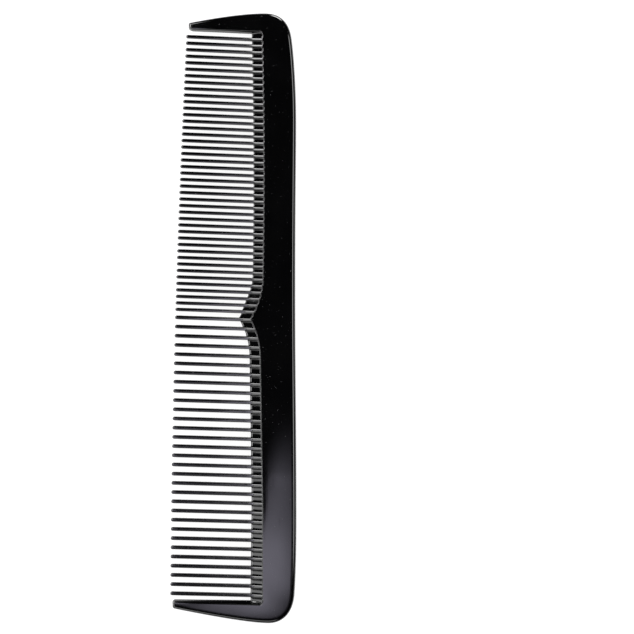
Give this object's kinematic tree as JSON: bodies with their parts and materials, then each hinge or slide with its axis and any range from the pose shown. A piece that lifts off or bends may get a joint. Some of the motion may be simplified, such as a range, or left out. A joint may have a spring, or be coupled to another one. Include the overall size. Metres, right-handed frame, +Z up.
{
  "type": "hair comb",
  "caption": "Straight-backed dressing comb, fine teeth at one end and coarse teeth at the other, with a tapered guard tooth at each end.",
  "frame": {"origin": "centre of the comb's outline, on the surface it lies on", "axes": "+Y along the comb towards the fine end, +X across it towards the back, +Z up out of the flat face"},
  "size_m": [0.0393, 0.19, 0.0044],
  "materials": {
    "black_plastic": "polished moulded black plastic"
  },
  "bodies": {
    "root": {"spine": "black_plastic", "fine_end_guard_tooth": "black_plastic", "coarse_end_guard_tooth": "black_plastic", "fine_teeth": "black_plastic", "coarse_teeth": "black_plastic", "fine_tooth_webs": "black_plastic", "coarse_tooth_webs": "black_plastic"}
  },
  "joints": []
}
